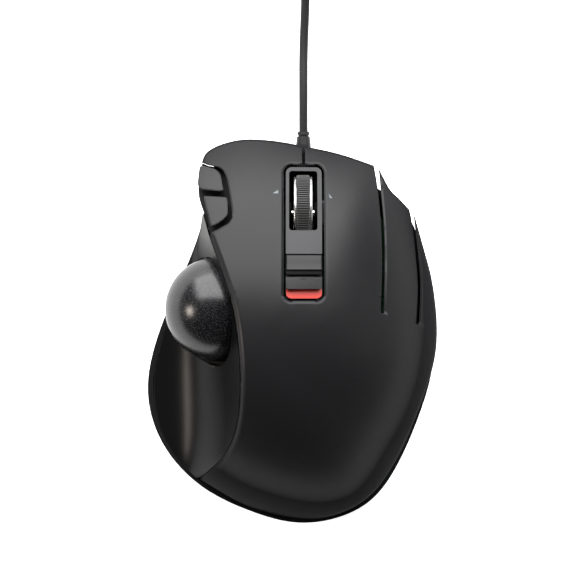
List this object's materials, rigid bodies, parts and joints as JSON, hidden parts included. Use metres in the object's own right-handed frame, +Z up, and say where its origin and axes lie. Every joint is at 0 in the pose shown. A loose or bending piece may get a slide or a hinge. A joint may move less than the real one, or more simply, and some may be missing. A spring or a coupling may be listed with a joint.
{
  "type": "trackball mouse",
  "caption": "Thumb-operated trackball mouse for the right hand with wheel, side buttons, finger rests and a wired tail.",
  "frame": {"origin": "on the desk, under the middle of the body's plan outline", "axes": "+X to the user's right, +Y away from the user towards the cable, +Z up from the desk"},
  "size_m": [0.0967, 0.28, 0.0479],
  "materials": {
    "satin_black": "satin moulded black plastic with a fine grain",
    "gloss_black": "polished black plastic",
    "case_black": "matt black plastic, fine texture",
    "bezel_grey": "satin dark grey plastic",
    "key_grey": "satin dark grey plastic",
    "label_red": "red printed label",
    "ball_finish": "speckled resin, polished",
    "inner_black": "unpainted black plastic",
    "bearing_white": "polished ceramic",
    "clear_lens": "clear",
    "chip_black": "moulded epoxy",
    "board_green": "solder mask",
    "tyre_rubber": "ribbed rubber",
    "chrome_ring": "bright plated",
    "steel": "bright",
    "screw_steel": "black zinc",
    "foot_plastic": "slippery low-friction plastic",
    "switch_body": "moulded",
    "connector_white": "nylon",
    "cable_jacket": "soft matt jacket",
    "plug_black": "overmoulded",
    "plug_steel": "nickel plated",
    "gold": "gold plated",
    "plug_white": "insulator"
  },
  "bodies": {
    "casing": {"bottom_case": "case_black", "glide_feet": "foot_plastic", "case_screws": "screw_steel", "palm_cover": "satin_black", "thumb_panel": "gloss_black", "side_button_frame": "case_black", "side_button_board": "board_green", "side_button_switches": "switch_body", "ball_cup": "inner_black", "support_bearings": "bearing_white", "sensor_lens": "clear_lens", "sensor_chip": "chip_black", "sensor_board": "board_green", "wheel_bezel": "bezel_grey", "dpi_label": "label_red", "key_board": "board_green", "key_switches": "switch_body", "main_board": "board_green", "board_screws": "steel", "main_micro_switches": "switch_body", "wheel_click_switch": "switch_body", "cable_connector": "connector_white", "controller_chip": "chip_black", "cable_relief": "plug_black", "cable_run": "cable_jacket", "cable_coil": "cable_jacket", "cable_tail": "cable_jacket", "cable_tie": "plug_black", "plug_body": "plug_black", "plug_shell": "plug_steel", "plug_tongue": "plug_white", "plug_contacts": "gold"},
    "left_button": {"left_button": "satin_black"},
    "right_button": {"right_button": "satin_black"},
    "forward_button": {"forward_button": "key_grey"},
    "back_button": {"back_button": "key_grey"},
    "fn_button": {"fn_button": "key_grey"},
    "dpi_knob": {"dpi_slide_knob": "key_grey"},
    "ball": {"trackball": "ball_finish"},
    "yoke": {"click_yoke": "inner_black", "tilt_switches": "switch_body"},
    "cradle": {"tilt_cradle": "inner_black", "wheel_encoder": "switch_body"},
    "wheel": {"wheel_hub": "inner_black", "wheel_tyre": "tyre_rubber", "wheel_rings": "chrome_ring", "wheel_axle": "steel"}
  },
  "joints": [
    {"name": "left_press", "type": "hinge", "parent": "casing", "child": "left_button", "pos_m": [-0.011, 0.012, 0.0425], "axis": [-1, 0, 0], "range_deg": [0, 0.75], "stiffness_Nm_per_rad": 1.2, "springref_deg": -0.23},
    {"name": "right_press", "type": "hinge", "parent": "casing", "child": "right_button", "pos_m": [0.02, 0.012, 0.038], "axis": [-1, 0, 0], "range_deg": [0, 0.75], "stiffness_Nm_per_rad": 1.2, "springref_deg": -0.23},
    {"name": "forward_press", "type": "slide", "parent": "casing", "child": "forward_button", "axis": [0.2529, -0.4751, -0.8428], "range_m": [0, 0.00045], "stiffness_N_per_m": 900, "springref_m": -0.0002},
    {"name": "back_press", "type": "slide", "parent": "casing", "child": "back_button", "axis": [0.2529, -0.4751, -0.8428], "range_m": [0, 0.00045], "stiffness_N_per_m": 900, "springref_m": -0.0002},
    {"name": "fn_press", "type": "slide", "parent": "casing", "child": "fn_button", "axis": [0, 0, -1], "range_m": [0, 0.00045], "stiffness_N_per_m": 900, "springref_m": -0.0002},
    {"name": "dpi_slide", "type": "slide", "parent": "casing", "child": "dpi_knob", "axis": [0, -0.9766, 0.215], "range_m": [0, 0.002]},
    {"name": "ball_roll", "type": "hinge", "parent": "casing", "child": "ball", "pos_m": [-0.025, 0.0077, 0.022], "axis": [1, 0, 0], "continuous": true},
    {"name": "wheel_click", "type": "slide", "parent": "casing", "child": "yoke", "axis": [0, 0, -1], "range_m": [0, 0.0006], "stiffness_N_per_m": 1500, "springref_m": -0.0003},
    {"name": "wheel_tilt", "type": "hinge", "parent": "yoke", "child": "cradle", "pos_m": [0.0036, 0.0393, 0.015], "axis": [0, 1, 0], "range_deg": [-3.5, 3.5], "stiffness_Nm_per_rad": 0.08},
    {"name": "wheel_spin", "type": "hinge", "parent": "cradle", "child": "wheel", "pos_m": [0.0036, 0.0393, 0.0236], "axis": [1, 0, 0], "continuous": true}
  ]
}
